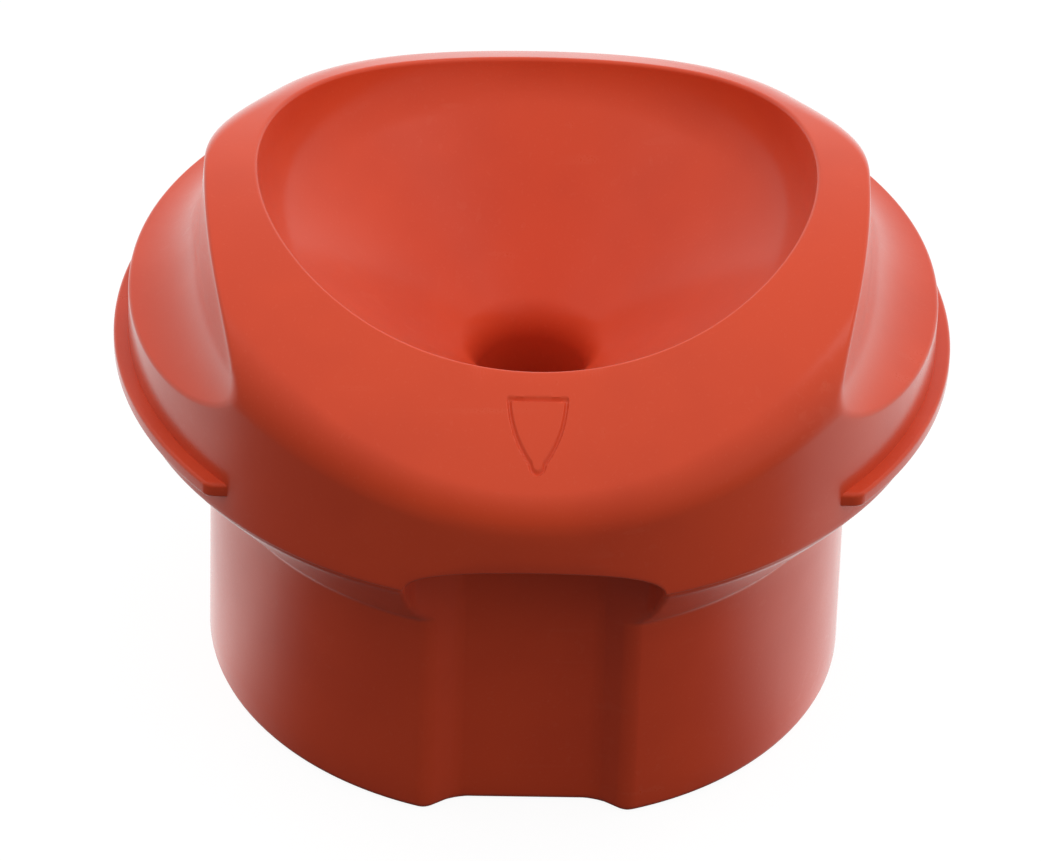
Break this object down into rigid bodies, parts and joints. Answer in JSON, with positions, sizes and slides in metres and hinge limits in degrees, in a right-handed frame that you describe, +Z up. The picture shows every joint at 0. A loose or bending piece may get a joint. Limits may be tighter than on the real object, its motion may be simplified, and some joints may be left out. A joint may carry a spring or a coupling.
{
  "type": "pour-through jug lid",
  "caption": "Round plug-in lid of an insulated jug: a funnel with a float valve under its throat, two finger grips, locking ribs, and a pouring channel marked by an arrow.",
  "frame": {"origin": "middle of the plug's flat underside", "axes": "+Z up along the funnel's axis; the arrow, pouring mouth and channel face -Y; +X is to the right seen from the arrow's side"},
  "size_m": [0.0782, 0.0754, 0.0538],
  "materials": {
    "red_plastic": "satin moulded red polypropylene",
    "seal_silicone": "translucent white silicone",
    "cage_plastic": "natural white polypropylene",
    "ball_plastic": "smooth white hollow ball"
  },
  "bodies": {
    "lid": {"upper_shell": "red_plastic", "plug_cup": "red_plastic", "throat_seal": "seal_silicone", "valve_cage": "cage_plastic"},
    "float": {"float_ball": "ball_plastic"}
  },
  "joints": [
    {"name": "float_rise", "type": "slide", "parent": "lid", "child": "float", "axis": [0, 0, 1], "range_m": [0, 0.004]}
  ]
}
